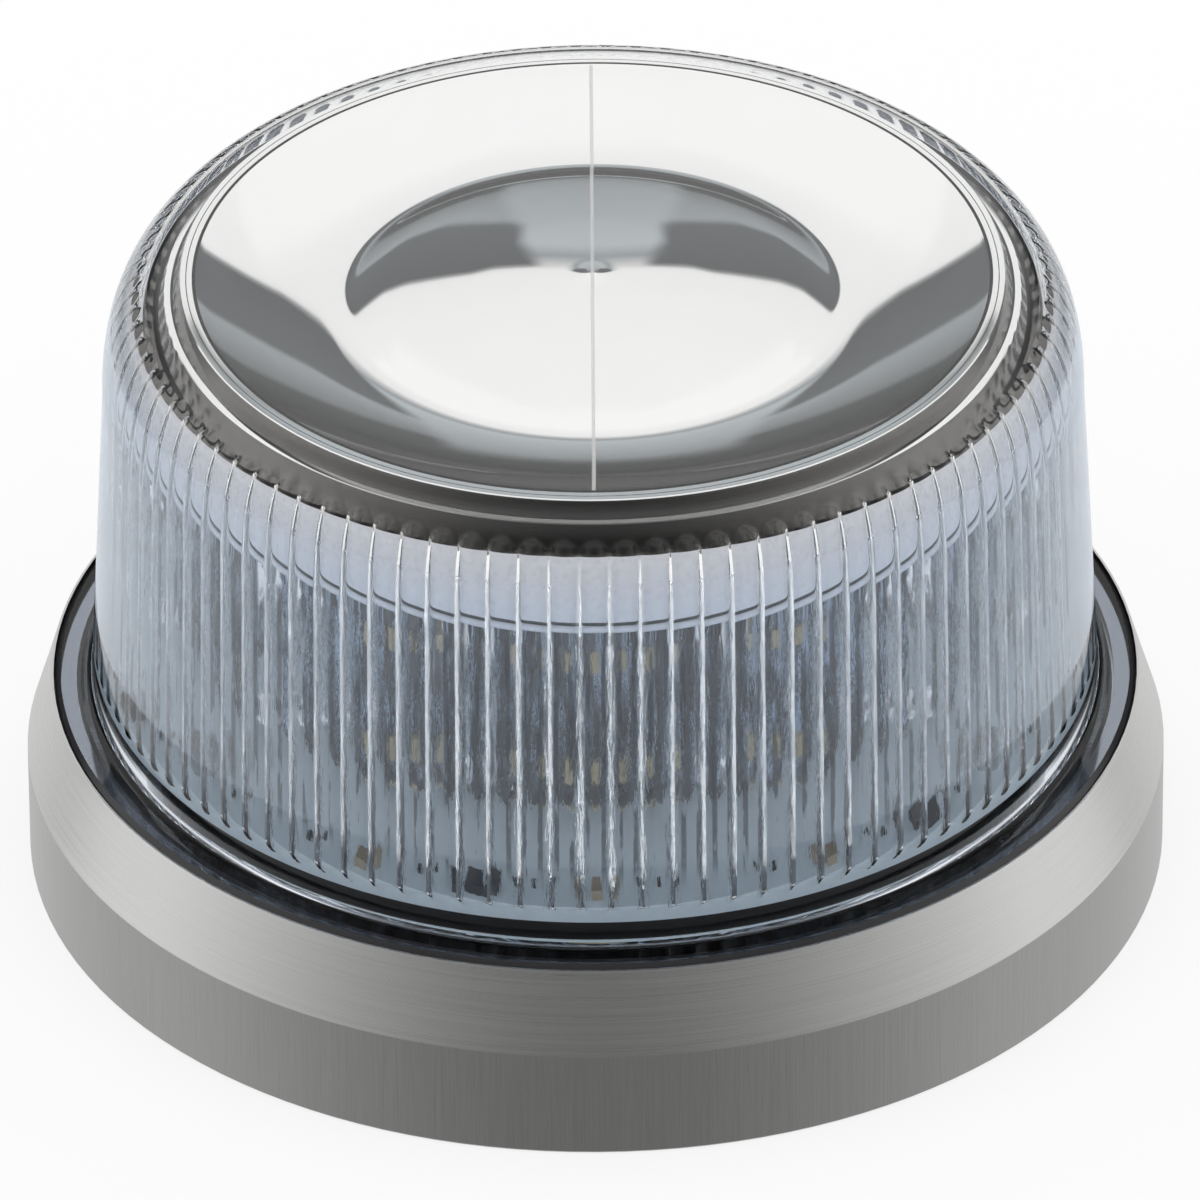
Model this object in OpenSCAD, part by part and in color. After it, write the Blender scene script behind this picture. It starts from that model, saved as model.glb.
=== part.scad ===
// Round warning beacon with a fluted clear dome, a mirrored dish and a turned metal base.
// Origin: centre of the underside. +Z points up through the dome. Sizes are in millimetres.

/* [Base] */
// Height of the straight lower band
base_band_h = 16.2; // [12:0.2:24]
// Height of the conical upper band
base_cone_h = 11.8; // [9:0.2:18]
// How far the conical band leans in
base_cone_w = 3.6; // [1.5:0.1:6]
// Thickness of the floor
base_floor_t = 10; // [8:0.5:14]
// Width of the flat lip round the dome seat
base_lip_w = 0.3; // [0.2:0.1:1.5]
// Edge break at the bottom of the band
base_edge = 0.4; // [0.2:0.1:1]

/* [Mounting] */
// Distance of the mounting holes from the outer edge
bolt_inset = 15; // [13:0.5:18]
// Number of mounting holes
bolt_count = 3; // [3:1:6]
// Diameter of a mounting hole, tapped
bolt_hole_d = 5; // [4:0.1:6]
// Metal left above a mounting hole
bolt_skin = 2; // [1.5:0.5:4]
// Diameter of the cable hole in the floor
cable_hole_d = 20.5; // [16:0.5:24]
// Diameter of the cable that the grommet grips
cable_d = 7; // [5:0.5:9]
// Width of the flange on the grommet
grommet_flange_w = 2.8; // [2:0.1:4]
// Thickness of a grommet flange
grommet_flange_t = 2.2; // [1.6:0.1:3]
// Width of the seal ring let into the underside
foot_seal_w = 3.8; // [3:0.1:5]
// Height of the seal ring let into the underside
foot_seal_h = 2; // [1.5:0.1:3]
// Distance of the foot seal from the outer edge
foot_seal_inset = 4.6; // [3.5:0.1:5.5]
// Diameter of the vent plug
vent_d = 6; // [5:0.5:8]
// Distance of the vent plug from the centre
vent_r = 34; // [28:1:38]

/* [Dome] */
// Number of vertical flutes inside the dome
flute_count = 96; // [72:2:120]
// Depth of a flute
flute_depth = 1; // [0.5:0.1:1.4]
// Wall of the dome outside the flutes, at the foot
dome_wall = 5; // [4:0.1:7]
// How far the dome wall leans in towards the shoulder
dome_lean = 2.3; // [0.5:0.1:3]
// Height of the rounded shoulder
shoulder_h = 20; // [15:0.5:24]
// Depth of the rounded shoulder, measured inwards
shoulder_w = 14.3; // [11:0.1:18]
// Roundness of the shoulder, two is an ellipse
shoulder_power = 2.4; // [2:0.1:3]
// Thickness of the dome's top
dome_top_t = 2.5; // [2:0.1:4]
// Width of the flange round the dome
flange_w = 5.3; // [4:0.1:7]
// Thickness of the flange
flange_t = 2.4; // [1.8:0.1:3.4]
// How far the flange stands above the base
flange_proud = 0.4; // [0.1:0.1:1.2]
// Bevel on the flange's outer edge
flange_bevel = 0.8; // [0.3:0.1:1.4]
// Fillet between flange and dome
foot_fillet = 1.4; // [0.6:0.1:2]
// Thickness of the black seal below the flange
seal_t = 1.5; // [1:0.1:2.5]

/* [Twist lock] */
// Depth of the dome's skirt below its flange
lock_skirt_h = 11; // [10:0.2:12]
// Wall of that skirt
lock_skirt_t = 2.7; // [2:0.1:3.5]
// Step from the dome's foot out to that skirt
lock_skirt_step = 1.6; // [1.2:0.1:2]
// Height of a locking lug
lug_h = 3.4; // [2.5:0.1:4]
// How far a lug stands out
lug_w = 2.2; // [1.2:0.1:2.4]
// Length of a lug, in degrees
lug_angle = 20; // [14:1:26]
// Turn that frees the dome, in degrees
lock_turn = 24; // [20:1:28]

/* [Mirror dish] */
// Depth of the ring valley in the dish
dish_depth = 4.4; // [2:0.1:8]
// Radius of the ring valley
valley_r = 34.5; // [30:0.5:40]
// Sharpness of the middle peak
peak_power = 1.3; // [1.1:0.1:2]
// Roundness of the outer slope
slope_power = 1.8; // [1.4:0.1:2.4]
// Wall of the dish
dish_t = 1.8; // [1.4:0.1:2.4]
// Width of the flat rim round the dish
dish_rim_w = 1.9; // [1.5:0.1:3]
// Width of the rounded edge from the rim to the skirt
rim_round_w = 6.7; // [5:0.1:8]
// Height of the rounded edge from the rim to the skirt
rim_round_h = 7; // [5:0.1:8]
// Height of the skirt behind the dome
dish_skirt_h = 15.8; // [13:0.1:18]
// Distance of the screw bosses from the column's bore
dish_boss_inset = 6; // [5:0.5:7]
// Height of the screw bosses below the valley
dish_boss_h = 2; // [1.5:0.1:3]

/* [Light column] */
// Width of the light column across two opposite sides
column_w = 80; // [72:1:86]
// Height of the light column
column_h = 52; // [46:0.5:58]
// Wall of the light column
column_wall = 7; // [6:0.5:9]
// Thickness of the column's top
column_top_t = 4; // [3:0.5:6]
// Width of a light strip
strip_w = 17; // [13:0.5:19]
// Thickness of a light strip
strip_t = 1.2; // [1:0.1:1.6]
// Bare height left above and below a light strip
strip_margin = 2.5; // [2:0.5:5]
// Width of a light emitting diode
led_w = 3.5; // [3:0.1:4]
// Height of a light emitting diode
led_t = 0.8; // [0.6:0.1:1]
// Number of diodes on a strip
led_rows = 3; // [2:1:4]
// Width of the clear bar in front of the diodes
optic_w = 10; // [8:0.5:11]
// Depth of the clear bar
optic_d = 5; // [4:0.5:6]
// Gap between the diodes and the clear bar
optic_gap = 0.6; // [0.3:0.1:1]

/* [Boards] */
// Board left bare outside the light column
board_margin = 16.4; // [14:0.1:18]
// Thickness of a circuit board
board_t = 1.6; // [1.2:0.1:2]
// Height of the upper board's face above the base
board_rise = 3; // [2:0.5:5]
// Wall of the board carrier
carrier_t = 2.8; // [2:0.1:3.5]
// Distance of the board screws from the board's edge
board_screw_inset = 7; // [6:0.2:8]
// Diameter of a board screw
board_screw_d = 3.9; // [3:0.1:4.2]
// Wall round a board screw in its boss
boss_wall = 2.2; // [1.6:0.1:2.6]
// Height of the pillars below the lower board
pillar_h = 4; // [3:0.5:6]
// Radius of a pillar
pillar_r = 3.5; // [3:0.1:4]
// Distance of the pillars from the lower board's edge
pillar_inset = 5; // [4:0.5:6]
// Radius of the hole in the middle of a board
board_hole_r = 11; // [9:0.5:12]

/* [Parts on the boards] */
// Diameter of the sounder
sounder_d = 26; // [20:1:28]
// Height of the sounder
sounder_h = 7.5; // [5:0.5:10]
// Diameter of a smoothing capacitor
capacitor_d = 10; // [8:0.5:11]
// Height of a smoothing capacitor
capacitor_h = 11; // [8:0.5:13]
// Diameter of the coil bobbin
coil_d = 15; // [12:0.5:16]
// Height of the coil bobbin
coil_h = 9; // [7:0.5:12]
// Number of poles on the terminal block
terminal_poles = 3; // [2:1:4]
// Width of one terminal
terminal_pitch = 5; // [4:0.1:5.5]
// Height of the terminal block
terminal_h = 10; // [8:0.5:12]
// Travel of a mode switch slider
slider_travel = 1.6; // [1:0.1:2]

/* [Clearances] */
// Gap between the dome and the upper board
board_gap = 0.6; // [0.4:0.1:1.2]
// Gap between the dome and its seat in the base
seat_gap = 0.2; // [0.1:0.05:0.5]
// Gap round parts that turn with the dome
turn_gap = 0.3; // [0.2:0.05:0.5]
// Gap between the dish's skirt and the dome
skirt_gap = 0.7; // [0.5:0.1:1.2]
// Gap between the lower board and the board screw bosses
lower_board_gap = 1.8; // [1:0.1:2.5]
// Gap round a screw in its tapped hole
thread_gap = 0.05; // [0.02:0.01:0.1]
// Gap round a screw in a plain hole
screw_gap = 0.25; // [0.15:0.05:0.4]
// Gap round a rubber part in its groove
rubber_gap = 0.1; // [0.05:0.05:0.2]
// Gap round a switch slider
slider_gap = 0.08; // [0.05:0.01:0.12]

/* [Hidden] */
$fn = 96;

// Small cut-through allowance, so that no cut ends on a face
eps = 0.01;
cut = 1;

// Radii, from the light column outwards
side_count = 12;
side_step = 360 / side_count;
column_r = column_w / 2;
column_bore = column_r - column_wall;
strip_face = column_r + strip_t;
led_face = strip_face + led_t;
optic_in = led_face + optic_gap;
optic_out = optic_in + optic_d;
board_r = optic_out + board_margin;
crest_r = board_r + board_gap;
groove_r = crest_r + flute_depth;
foot_r = groove_r + dome_wall;
flange_r = foot_r + flange_w;
seat_r = flange_r + seat_gap;
base_top_r = seat_r + base_lip_w;
base_r = base_top_r + base_cone_w;
carrier_bore = board_r - carrier_t;
board_screw_r = board_r - board_screw_inset;
boss_r = board_screw_d / 2 + boss_wall;
lower_board_r = board_screw_r - boss_r - lower_board_gap;
pillar_circle = lower_board_r - pillar_inset;
bolt_circle = base_r - bolt_inset;
foot_seal_out = base_r - foot_seal_inset;
foot_seal_in = foot_seal_out - foot_seal_w;
grommet_r = cable_hole_d / 2 + grommet_flange_w;

// Heights, from the underside upwards
base_top_z = base_band_h + base_cone_h;
flange_top = base_top_z + flange_proud;
flange_low = flange_top - flange_t;
seat_z = flange_low - seal_t;
board_top = base_top_z + board_rise;
board_low = board_top - board_t;
lower_low = base_floor_t + pillar_h;
lower_top = lower_low + board_t;
column_top = board_top + column_h;
valley_low = column_top + dish_boss_h;
valley_z = valley_low + dish_t;
rim_z = valley_z + dish_depth;
dome_inner_top = rim_z + turn_gap;
dome_top = dome_inner_top + dome_top_t;
shoulder_z = dome_top - shoulder_h;

// The mirrored dish and the dome's inner shoulder above it
skirt_r = crest_r - skirt_gap;
rim_r = skirt_r - rim_round_w;
dish_r = rim_r - dish_rim_w;
shoulder_spare_w = 1.5;
shoulder_spare_h = 3.6;
inner_shoulder_w = skirt_gap + rim_round_w + shoulder_spare_w;
inner_shoulder_h = turn_gap + rim_round_h + shoulder_spare_h;
dish_boss_circle = column_bore - dish_boss_inset;
dish_hole_spare = 0.3;

// The dome's twist lock
skirt_out = foot_r + lock_skirt_step;
skirt_in = skirt_out - lock_skirt_t;
skirt_low = flange_low - lock_skirt_h;
base_bore = skirt_out + turn_gap;
lug_r = skirt_out + lug_w;
lug_foot = 2.2;
lug_low = skirt_low + lug_foot;
lug_top = lug_low + lug_h;
lug_count = 3;
lug_first_angle = 20;
lug_side_angle = 1;
lug_slot_r = lug_r + turn_gap;
lug_track_r = lug_slot_r + turn_gap / 2;

// The dome's bore and foot
bore_rise = 1.6;
bore_low = flange_top + bore_rise;
bore_step_w = 0.9;
bore_step_h = 1.5;
foot_floor_t = 1.4;
flute_run_out = 2;
flute_share = 0.96;
shoulder_steps = 14;
fillet_steps = 5;

// Screws
screw_r = board_screw_d / 2;
small_screw_r = 1.45;
head_share = 1.8;
socket_share = 0.9;
hole_run_out = 0.5;
small_head_h = 2;
board_head_h = 2.6;
screw_angles = [90, 210, 330];
pillar_angles = [30, 150, 270];
column_screw_angles = [45, 135, 225, 315];
column_screw_r = (column_r + column_bore) / 2;
column_screw_len = 9;
board_screw_skin = 2.5;
board_screw_depth = base_floor_t - board_screw_skin - hole_run_out;
lower_screw_depth = 8;

// The vent plug's flange
vent_flange_w = 1.6;
vent_flange_t = 1.8;

// The lower board's layout
edge_room = 10;
sounder_at = [sounder_d / 2 + edge_room - lower_board_r, 8];
coil_at = [24, 20];
capacitor_places = [[33, -3], [30, -15]];
terminal_at = [0, -22];
link_at = [-15, -31];
switch_at = [2, 25];
power_chip_circle = lower_board_r - edge_room;
power_chip_angles = [14, 69, 107];
power_chip = [5, 4, 1.6];
link_w = 12;
link_d = 5;
terminal_d = 9;
terminal_screw_r = 1.5;
terminal_screw_drop = 1;
terminal_slot_w = 0.6;
terminal_slot_depth = 0.8;
coil_core_share = 0.8;
sounder_hole_r = 1.6;
sounder_hole_depth = 2;

// Chips on the bare ring of the upper board: length outwards, width round the ring, height
chip_inset = 3.2;
chip_circle = board_r - chip_inset;
chip_step = 30;
capacitor_chip = [3.2, 2.5, 1.6];
resistor_chip = [1.6, 1, 0.6];
resistor_swing = 8;
resistor_inset = 1.5;
driver_chip = [4, 5, 1.5];
driver_step = 60;

// The clear bars' feet and the diodes between them
bar_foot = 1.5;
led_gap = 0.3;
led_first = strip_margin + 2 * bar_foot + led_gap + led_w / 2;

// The mode switch
slider_count = 4;
slider_pitch = 2.54;
slider_w = 1.3;
slider_knob_h = 1.9;
switch_wall = 0.6;
switch_w = slider_count * slider_pitch + 2 * switch_wall;
switch_d = 6.4;
switch_h = 4;
switch_slot_depth = 1.4;
slot_l = slider_w + slider_travel + 2 * slider_gap;

// Height of the mirror surface at radius r, below its rim
function dish_drop(r) = r < valley_r
    ? dish_depth * (1 - pow(1 - r / valley_r, peak_power))
    : dish_depth * (1 - pow((r - valley_r) / (dish_r - valley_r), slope_power));

// Points of a rounded shoulder from its side at angle zero to its top
function shoulder_point(u, w, h) = [
    w * pow(cos(u), 2 / shoulder_power),
    h * pow(sin(u), 2 / shoulder_power)
];
dish_steps = 24;
round_steps = 8;

// Ring of rectangular section
module ring(r_in, r_out, z_low, z_high) {
    rotate_extrude() translate([r_in, z_low]) square([r_out - r_in, z_high - z_low]);
}

// Part of a ring, from one angle to another
module ring_part(r_in, r_out, z_low, z_high, from, to) {
    rotate([0, 0, from])
        rotate_extrude(angle = to - from)
            translate([r_in, z_low]) square([r_out - r_in, z_high - z_low]);
}

// Children repeated on a circle
module on_circle(r, angles) {
    for (a = angles) rotate([0, 0, a]) translate([r, 0, 0]) children();
}

// Screw standing on its head's seat, thread downwards
module screw(r, length, head_h) {
    translate([0, 0, -length]) cylinder(r = r, h = length + eps);
    difference() {
        cylinder(r = r * head_share, h = head_h);
        translate([0, 0, head_h / 2]) cylinder(r = r * socket_share, h = head_h, $fn = 6);
    }
}

module base_housing() {
    color("silver") difference() {
        union() {
            rotate_extrude() polygon([
                [0, 0], [base_r - base_edge, 0], [base_r, base_edge], [base_r, base_band_h],
                [base_top_r, base_top_z], [seat_r, base_top_z], [seat_r, seat_z],
                [base_bore, seat_z], [base_bore, base_floor_t], [0, base_floor_t]
            ]);
            on_circle(pillar_circle, pillar_angles)
                translate([0, 0, base_floor_t - eps]) cylinder(r = pillar_r, h = pillar_h + eps);
        }
        translate([0, 0, -cut]) cylinder(d = cable_hole_d, h = base_floor_t + 2 * cut);
        recess(grommet_r, grommet_flange_t);
        on_circle(bolt_circle, [for (i = [0:bolt_count - 1]) 90 + i * 360 / bolt_count])
            translate([0, 0, -cut]) cylinder(d = bolt_hole_d, h = cut + base_floor_t - bolt_skin);
        ring(foot_seal_in - rubber_gap, foot_seal_out + rubber_gap, -cut, foot_seal_h + 2 * rubber_gap);
        on_circle(board_screw_r, screw_angles)
            translate([0, 0, board_screw_skin])
                cylinder(r = screw_r + thread_gap, h = base_floor_t - board_screw_skin + cut);
        on_circle(pillar_circle, pillar_angles)
            translate([0, 0, lower_low - lower_screw_depth - hole_run_out])
                cylinder(r = small_screw_r + thread_gap, h = lower_screw_depth + hole_run_out + cut);
        translate([vent_r, 0, -cut]) cylinder(d = vent_d, h = base_floor_t + 2 * cut);
        translate([vent_r, 0, 0]) recess(vent_d / 2 + vent_flange_w, vent_flange_t);
        for (i = [0:lug_count - 1]) lug_way(lug_start(i));
    }
}

// Recess in the underside round a rubber flange
module recess(r, t) {
    translate([0, 0, -cut]) cylinder(r = r + rubber_gap, h = cut + t + 2 * rubber_gap);
}

// Way of a locking lug: down the slot and along the track
module lug_way(from) {
    slot_from = from + lock_turn - lug_side_angle;
    slot_to = from + lock_turn + lug_angle + lug_side_angle;
    track_from = from - lug_side_angle;
    track_to = slot_to + lug_side_angle;
    ring_part(base_bore - cut, lug_track_r, lug_low - turn_gap, lug_top + turn_gap, track_from, track_to);
    ring_part(base_bore - 2 * cut, lug_slot_r, (lug_low + lug_top) / 2, seat_z + cut, slot_from, slot_to);
}

// Angle where a locking lug starts when the dome is locked
function lug_start(i) = i * 360 / lug_count + lug_first_angle;

module foot_seal() {
    color("black") ring(foot_seal_in, foot_seal_out, rubber_gap, rubber_gap + foot_seal_h);
}

module cable_grommet() {
    neck = cable_hole_d / 2 - rubber_gap;
    color("dimgray") difference() {
        union() {
            translate([0, 0, rubber_gap]) cylinder(r = grommet_r, h = grommet_flange_t);
            translate([0, 0, rubber_gap]) cylinder(r = neck, h = base_floor_t);
            translate([0, 0, base_floor_t]) cylinder(r = grommet_r, h = grommet_flange_t);
        }
        translate([0, 0, -cut]) cylinder(d = cable_d, h = base_floor_t + grommet_flange_t + 2 * cut);
    }
}

module vent_plug() {
    color("black") translate([vent_r, 0, rubber_gap]) {
        cylinder(d = vent_d + 2 * vent_flange_w, h = vent_flange_t);
        cylinder(d = vent_d - 2 * rubber_gap, h = base_floor_t - rubber_gap);
    }
}

module board_carrier() {
    color("black") translate([0, 0, base_floor_t]) linear_extrude(board_low - base_floor_t) difference() {
        union() {
            difference() {
                circle(r = board_r);
                circle(r = carrier_bore);
            }
            on_circle(board_screw_r, screw_angles) {
                circle(r = boss_r);
                translate([0, -boss_r / 2]) square([board_screw_inset - carrier_t / 2, boss_r]);
            }
        }
        on_circle(board_screw_r, screw_angles) circle(r = screw_r + screw_gap);
    }
}

module dome_seal() {
    color("black") ring(base_bore + turn_gap, flange_r, seat_z, flange_low);
}

module dome() {
    side_r = foot_r - dome_lean;
    top_r = side_r - shoulder_w;
    inner_top_r = crest_r - inner_shoulder_w;
    inner_z = dome_inner_top - inner_shoulder_h;
    wide_r = groove_r + bore_step_w;
    foot_floor = flange_top - foot_floor_t;
    fillet_c = [foot_r + foot_fillet, flange_top + foot_fillet];
    outside = concat(
        [[skirt_in, skirt_low], [skirt_out, skirt_low], [skirt_out, flange_low], [flange_r, flange_low]],
        [[flange_r, flange_top - flange_bevel], [flange_r - flange_bevel, flange_top]],
        [for (i = [0:fillet_steps]) let (a = 270 - i * 90 / fillet_steps)
            [fillet_c[0] + foot_fillet * cos(a), fillet_c[1] + foot_fillet * sin(a)]],
        [for (i = [0:shoulder_steps])
            let (p = shoulder_point(i * 90 / shoulder_steps, shoulder_w, shoulder_h))
            [top_r + p[0], shoulder_z + p[1]]]
    );
    inside = concat(
        [[0, dome_top], [0, dome_inner_top]],
        [for (i = [shoulder_steps:-1:0])
            let (p = shoulder_point(i * 90 / shoulder_steps, inner_shoulder_w, inner_shoulder_h))
            [inner_top_r + p[0], inner_z + p[1]]],
        [[crest_r, bore_low + bore_step_h], [wide_r, bore_low], [wide_r, foot_floor], [skirt_in, foot_floor]]
    );
    color("aliceblue", 0.35) difference() {
        union() {
            rotate_extrude() polygon(concat(outside, inside));
            for (i = [0:lug_count - 1])
                ring_part(skirt_out - eps, lug_r, lug_low, lug_top, lug_start(i), lug_start(i) + lug_angle);
        }
        translate([0, 0, bore_low - cut])
            linear_extrude(inner_z + flute_run_out - bore_low + cut) flute_outline();
    }
}

// Bore of the dome with a round groove at every flute
module flute_outline() {
    half = crest_r * sin(180 / flute_count) * flute_share;
    r = (half * half + flute_depth * flute_depth) / (2 * flute_depth);
    for (i = [0:flute_count - 1])
        rotate([0, 0, i * 360 / flute_count]) translate([groove_r - r, 0]) circle(r = r, $fn = 24);
}

module mirror_dish() {
    top = [for (i = [0:dish_steps]) let (r = dish_r * i / dish_steps) [r, rim_z - dish_drop(r)]];
    low = [for (i = [dish_steps:-1:0]) top[i] - [0, dish_t]];
    round_z = rim_z - rim_round_h;
    skirt_z = rim_z - dish_skirt_h;
    outer_round = [for (i = [0:round_steps]) let (a = i * 90 / round_steps)
        [rim_r + rim_round_w * sin(a), round_z + rim_round_h * cos(a)]];
    inner_round = [for (i = [round_steps:-1:0]) let (a = i * 90 / round_steps)
        [rim_r + (rim_round_w - dish_t) * sin(a), round_z + (rim_round_h - dish_t) * cos(a)]];
    color("whitesmoke") difference() {
        union() {
            rotate_extrude() polygon(concat(
                top,
                outer_round,
                [[skirt_r, skirt_z], [skirt_r - dish_t, skirt_z]],
                inner_round,
                low
            ));
            on_circle(dish_boss_circle, column_screw_angles)
                translate([0, 0, column_top]) cylinder(r = pillar_r, h = dish_boss_top() - column_top);
        }
        on_circle(dish_boss_circle, column_screw_angles)
            translate([0, 0, column_top - cut])
                cylinder(r = small_screw_r + thread_gap, h = cut + dish_boss_h + dish_hole_spare);
    }
}

// Height where a boss ends inside the wall of the dish
function dish_boss_top() = rim_z - dish_t / 2
    - max([for (r = [-pillar_r, 0, pillar_r]) dish_drop(dish_boss_circle + r)]);

module dish_screws() {
    color("gainsboro") on_circle(dish_boss_circle, column_screw_angles)
        translate([0, 0, column_top - column_top_t]) rotate([180, 0, 0])
            screw(small_screw_r, column_top_t + dish_boss_h, small_head_h);
}

module light_column() {
    color("dimgray") difference() {
        translate([0, 0, board_top]) rotate([0, 0, side_step / 2])
            cylinder(r = column_r / cos(side_step / 2), h = column_h, $fn = side_count);
        translate([0, 0, board_top - cut]) cylinder(r = column_bore, h = column_h - column_top_t + cut);
        on_circle(dish_boss_circle, column_screw_angles)
            translate([0, 0, column_top - column_top_t - cut])
                cylinder(r = small_screw_r + screw_gap, h = column_top_t + 2 * cut);
        on_circle(column_screw_r, column_screw_angles)
            translate([0, 0, board_top - cut])
                cylinder(r = small_screw_r + thread_gap, h = cut + column_screw_len + hole_run_out);
    }
}

module column_screws() {
    color("gainsboro") on_circle(column_screw_r, column_screw_angles)
        translate([0, 0, board_low]) rotate([180, 0, 0])
            screw(small_screw_r, board_t + column_screw_len, small_head_h);
}

// Sides of the light column, as angles
function sides() = [for (i = [0:side_count - 1]) i * side_step];

module light_strips() {
    color("lightsteelblue") on_circle(column_r, sides())
        translate([0, -strip_w / 2, board_top + strip_margin])
            cube([strip_t, strip_w, column_h - 2 * strip_margin]);
}

// Height of a diode's middle
function led_z(row) = board_top + led_first + row * (column_h - 2 * led_first) / (led_rows - 1);

module light_diodes() {
    color("khaki") on_circle(strip_face, sides())
        for (row = [0:led_rows - 1])
            translate([0, -led_w / 2, led_z(row) - led_w / 2]) cube([led_t, led_w, led_w]);
}

module light_bars() {
    low = board_top + strip_margin + bar_foot;
    height = column_h - 2 * (strip_margin + bar_foot);
    r = (optic_w * optic_w / 4 + optic_d * optic_d) / (2 * optic_d);
    color("white", 0.5) on_circle(strip_face, sides()) translate([0, 0, low]) {
        linear_extrude(height) intersection() {
            translate([optic_in - strip_face, -optic_w / 2]) square([optic_d, optic_w]);
            translate([optic_out - strip_face - r, 0]) circle(r = r);
        }
        for (z = [0, height - bar_foot])
            translate([0, -optic_w / 2 + bar_foot, z])
                cube([optic_in - strip_face + bar_foot, optic_w - 2 * bar_foot, bar_foot]);
    }
}

module upper_board() {
    color("lightblue") difference() {
        translate([0, 0, board_low]) cylinder(r = board_r, h = board_t);
        translate([0, 0, board_low - cut]) cylinder(r = board_hole_r, h = board_t + 2 * cut);
        on_circle(board_screw_r, screw_angles)
            translate([0, 0, board_low - cut]) cylinder(r = screw_r + screw_gap, h = board_t + 2 * cut);
        on_circle(column_screw_r, column_screw_angles)
            translate([0, 0, board_low - cut]) cylinder(r = small_screw_r + screw_gap, h = board_t + 2 * cut);
    }
}

module board_screws() {
    color("gainsboro") on_circle(board_screw_r, screw_angles)
        translate([0, 0, board_top])
            screw(screw_r, board_top - base_floor_t + board_screw_depth, board_head_h);
}

// Chip standing on its middle
module chip(size) {
    translate([-size[0] / 2, -size[1] / 2, 0]) cube(size);
}

// Angles of a full turn, from one angle on
function turn_steps(from, step) = [for (i = [0:360 / step - 1]) from + i * step];

// Places of the chips, which leave out the screws
function chip_angles() = [for (a = turn_steps(0, chip_step)) if (len(search(a, screw_angles)) == 0) a];

module chip_capacitors() {
    color("tan") on_circle(chip_circle, chip_angles()) translate([0, 0, board_top]) chip(capacitor_chip);
}

module chip_resistors() {
    angles = [for (a = turn_steps(0, chip_step)) for (side = [-1, 1]) a + side * resistor_swing];
    color("black") on_circle(chip_circle - resistor_inset, angles)
        translate([0, 0, board_top]) chip(resistor_chip);
}

module driver_chips() {
    color("black") on_circle(chip_circle, turn_steps(chip_step / 2, driver_step))
        translate([0, 0, board_top]) chip(driver_chip);
}

module lower_board() {
    color("seagreen") difference() {
        translate([0, 0, lower_low]) cylinder(r = lower_board_r, h = board_t);
        translate([0, 0, lower_low - cut]) cylinder(r = board_hole_r, h = board_t + 2 * cut);
        on_circle(pillar_circle, pillar_angles)
            translate([0, 0, lower_low - cut]) cylinder(r = small_screw_r + screw_gap, h = board_t + 2 * cut);
    }
}

module lower_board_screws() {
    color("gainsboro") on_circle(pillar_circle, pillar_angles)
        translate([0, 0, lower_top]) screw(small_screw_r, board_t + lower_screw_depth, small_head_h);
}

// Children standing on the lower board
module on_lower_board(at) {
    translate([at[0], at[1], lower_top]) children();
}

module smoothing_capacitors() {
    color("midnightblue") for (at = capacitor_places) on_lower_board(at)
        cylinder(d = capacitor_d, h = capacitor_h);
}

module coil() {
    flange = coil_h / 6;
    color("sienna") on_lower_board(coil_at) {
        cylinder(d = coil_d, h = flange);
        cylinder(d = coil_d * coil_core_share, h = coil_h);
        translate([0, 0, coil_h - flange]) cylinder(d = coil_d, h = flange);
    }
}

// Places of the terminal screws across the block
function terminal_x(i) = (i - (terminal_poles - 1) / 2) * terminal_pitch;

module terminal_block() {
    width = terminal_poles * terminal_pitch;
    color("green") on_lower_board(terminal_at) difference() {
        translate([-width / 2, -terminal_d / 2, 0]) cube([width, terminal_d, terminal_h]);
        for (i = [0:terminal_poles - 1]) {
            translate([terminal_x(i), 0, terminal_h / 2])
                cylinder(r = terminal_screw_r + screw_gap, h = terminal_h);
            translate([terminal_x(i), terminal_d / 2 + cut, terminal_h / 3]) rotate([90, 0, 0])
                cylinder(r = terminal_screw_r, h = terminal_d / 2 + cut);
        }
    }
}

module terminal_screws() {
    screw_h = terminal_h / 2 - terminal_screw_drop;
    color("gainsboro") on_lower_board(terminal_at) for (i = [0:terminal_poles - 1])
        translate([terminal_x(i), 0, terminal_h / 2]) difference() {
            cylinder(r = terminal_screw_r, h = screw_h);
            translate([-terminal_d, -terminal_slot_w / 2, screw_h - terminal_slot_depth])
                cube([2 * terminal_d, terminal_slot_w, terminal_slot_depth + cut]);
        }
}

module sounder() {
    color("black") on_lower_board(sounder_at) difference() {
        cylinder(d = sounder_d, h = sounder_h);
        translate([0, 0, sounder_h - sounder_hole_depth])
            cylinder(r = sounder_hole_r, h = sounder_hole_depth + cut);
    }
}

module board_link() {
    color("ivory") translate([link_at[0] - link_w / 2, link_at[1] - link_d / 2, lower_top])
        cube([link_w, link_d, board_low - lower_top]);
}

module power_chips() {
    color("black") on_circle(power_chip_circle, power_chip_angles)
        translate([0, 0, lower_top]) chip(power_chip);
}

// Place of a slider across the switch
function slider_x(i) = (i - (slider_count - 1) / 2) * slider_pitch;

module mode_switch() {
    color("firebrick") on_lower_board(switch_at) difference() {
        translate([-switch_w / 2, -switch_d / 2, 0]) cube([switch_w, switch_d, switch_h]);
        for (i = [0:slider_count - 1])
            translate([slider_x(i) - slider_w / 2 - slider_gap, -slot_l / 2, switch_h - switch_slot_depth])
                cube([slider_w + 2 * slider_gap, slot_l, switch_slot_depth + cut]);
    }
}

module mode_slider(i) {
    low = switch_h - switch_slot_depth + slider_gap;
    color("white") on_lower_board(switch_at)
        translate([slider_x(i) - slider_w / 2, -slot_l / 2 + slider_gap, low])
            cube([slider_w, slider_w, slider_knob_h]);
}

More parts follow.
